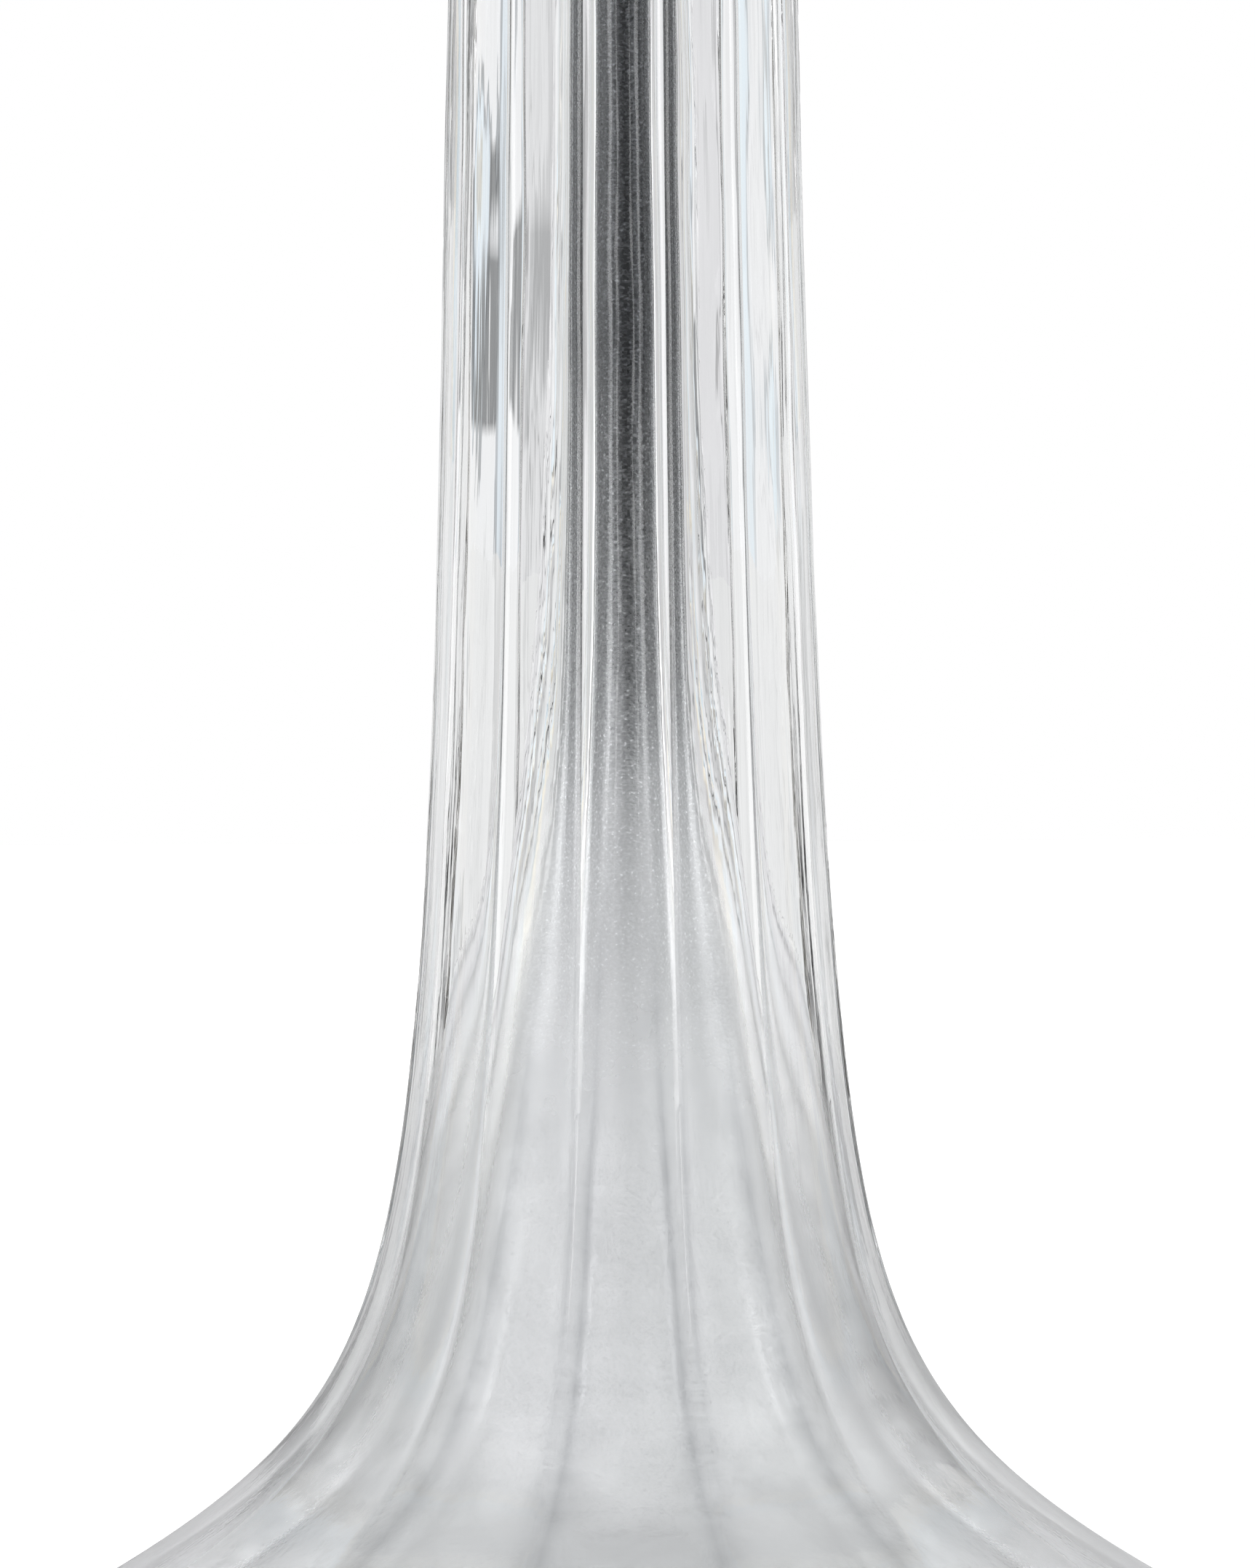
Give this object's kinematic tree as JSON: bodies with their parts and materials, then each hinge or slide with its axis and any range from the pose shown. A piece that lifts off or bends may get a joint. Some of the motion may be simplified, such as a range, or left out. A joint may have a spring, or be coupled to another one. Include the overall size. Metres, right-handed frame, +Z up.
{
  "type": "glass candlestick",
  "caption": "Tall candlestick with a fluted clear glass column flaring into a trumpet foot, satin metal lining, lift-off glass drip pan and metal candle nozzle.",
  "frame": {"origin": "centre of the foot, on the surface the candlestick stands on", "axes": "+Z up along the column's axis, out of the candle nozzle; a flute faces -Y"},
  "size_m": [0.144, 0.144, 0.3313],
  "materials": {
    "clear_glass": "polished clear lead glass",
    "satin_lining": "fine-blasted satin",
    "polished_nickel": "polished nickel plate",
    "zinc_steel": "bright zinc plate",
    "black_rubber": "matt",
    "clear_silicone": "matt translucent",
    "white_nylon": "moulded",
    "grey_felt": "pressed felt"
  },
  "bodies": {
    "stand": {"foot_pad": "grey_felt", "base_plate": "zinc_steel", "rim_gasket": "black_rubber", "plate_washer": "zinc_steel", "lock_washer": "zinc_steel", "base_nut": "zinc_steel", "tie_rod": "zinc_steel", "inner_liner": "satin_lining", "rod_bushes": "white_nylon", "glass_column": "clear_glass", "top_gasket": "black_rubber", "top_collar": "polished_nickel", "candle_socket": "polished_nickel", "socket_washer": "zinc_steel", "socket_nut": "zinc_steel", "pan_seat_ring": "clear_silicone"},
    "pan": {"drip_pan": "clear_glass"},
    "nozzle": {"candle_nozzle": "polished_nickel"}
  },
  "joints": [
    {"name": "pan_lift", "type": "slide", "parent": "stand", "child": "pan", "axis": [0, 0, 1], "range_m": [0, 0.06]},
    {"name": "nozzle_lift", "type": "slide", "parent": "stand", "child": "nozzle", "axis": [0, 0, 1], "range_m": [0, 0.045]}
  ]
}
